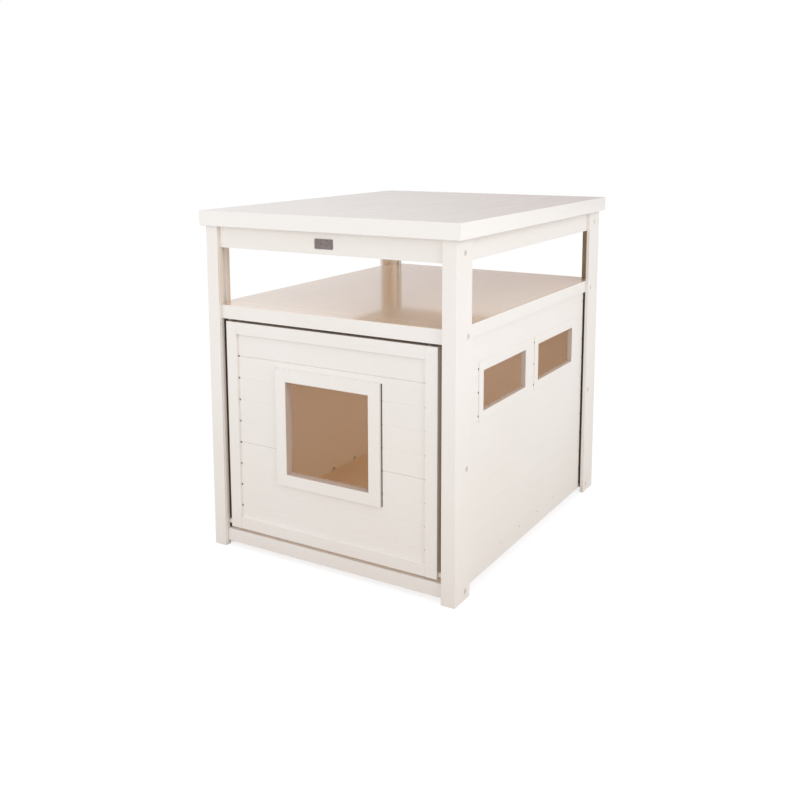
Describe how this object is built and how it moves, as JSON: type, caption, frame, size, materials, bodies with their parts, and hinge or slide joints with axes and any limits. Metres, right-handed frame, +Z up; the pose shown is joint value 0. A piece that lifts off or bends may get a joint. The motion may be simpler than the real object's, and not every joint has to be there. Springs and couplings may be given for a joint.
{
  "type": "litter box cabinet",
  "caption": "White side-table cabinet with an open shelf bay over a closed litter bay, plank walls with windows and a drop-down front door with a square cat entry.",
  "frame": {"origin": "middle of the cabinet's footprint, on the ground", "axes": "+X to the right seen from the front, +Y to the back, +Z up; the door faces -Y"},
  "size_m": [0.614, 0.78, 0.734],
  "materials": {
    "painted_board": "satin antique white",
    "shelf_board": "satin beige",
    "fastener_steel": "dark, dull",
    "bright_steel": "plain zinc",
    "fitting_plastic": "moulded",
    "plate_metal": "dark bronze"
  },
  "bodies": {
    "cabinet": {"back_wall": "painted_board", "base_rail_front": "painted_board", "base_rail_left": "painted_board", "base_rail_rear": "painted_board", "base_rail_right": "painted_board", "bolt_spacers": "fitting_plastic", "corner_block_front_left": "painted_board", "corner_block_front_right": "painted_board", "corner_block_rear_left": "painted_board", "corner_block_rear_right": "painted_board", "floor_bearer": "painted_board", "floor_panel": "shelf_board", "hinge_pin_left": "bright_steel", "hinge_pin_right": "bright_steel", "leg_front_left": "painted_board", "leg_front_right": "painted_board", "leg_rear_left": "painted_board", "leg_rear_right": "painted_board", "magnet_catch": "fitting_plastic", "nameplate": "plate_metal", "post_bolts_long": "fastener_steel", "post_bolts_short": "fastener_steel", "shelf_cleat_left": "painted_board", "shelf_cleat_right": "painted_board", "shelf_panel": "shelf_board", "shelf_rail_front": "painted_board", "shelf_rail_left": "painted_board", "shelf_rail_rear": "painted_board", "shelf_rail_right": "painted_board", "side_wall_left": "painted_board", "side_wall_right": "painted_board", "tabletop": "painted_board", "top_rail_front": "painted_board", "top_rail_left": "painted_board", "top_rail_rear": "painted_board", "top_rail_right": "painted_board", "top_screws": "fastener_steel", "wall_plugs": "fitting_plastic", "wall_stile_front_left": "painted_board", "wall_stile_front_right": "painted_board", "wall_stile_rear_left": "painted_board", "wall_stile_rear_right": "painted_board", "window_trim_front_left": "painted_board", "window_trim_front_right": "painted_board", "window_trim_rear_left": "painted_board", "window_trim_rear_right": "painted_board"},
    "door": {"door_board_lower": "painted_board", "door_board_middle": "painted_board", "door_board_upper": "painted_board", "door_rail_bottom": "painted_board", "door_rail_top": "painted_board", "door_stile_left": "painted_board", "door_stile_right": "painted_board", "entry_lining": "painted_board", "entry_trim": "painted_board", "hinge_bush_left": "fitting_plastic", "hinge_bush_right": "fitting_plastic", "strike_plate": "bright_steel"}
  },
  "joints": [
    {"name": "door_hinge", "type": "hinge", "parent": "cabinet", "child": "door", "pos_m": [0, -0.366, 0.053], "axis": [1, 0, 0], "range_deg": [0, 95]}
  ]
}
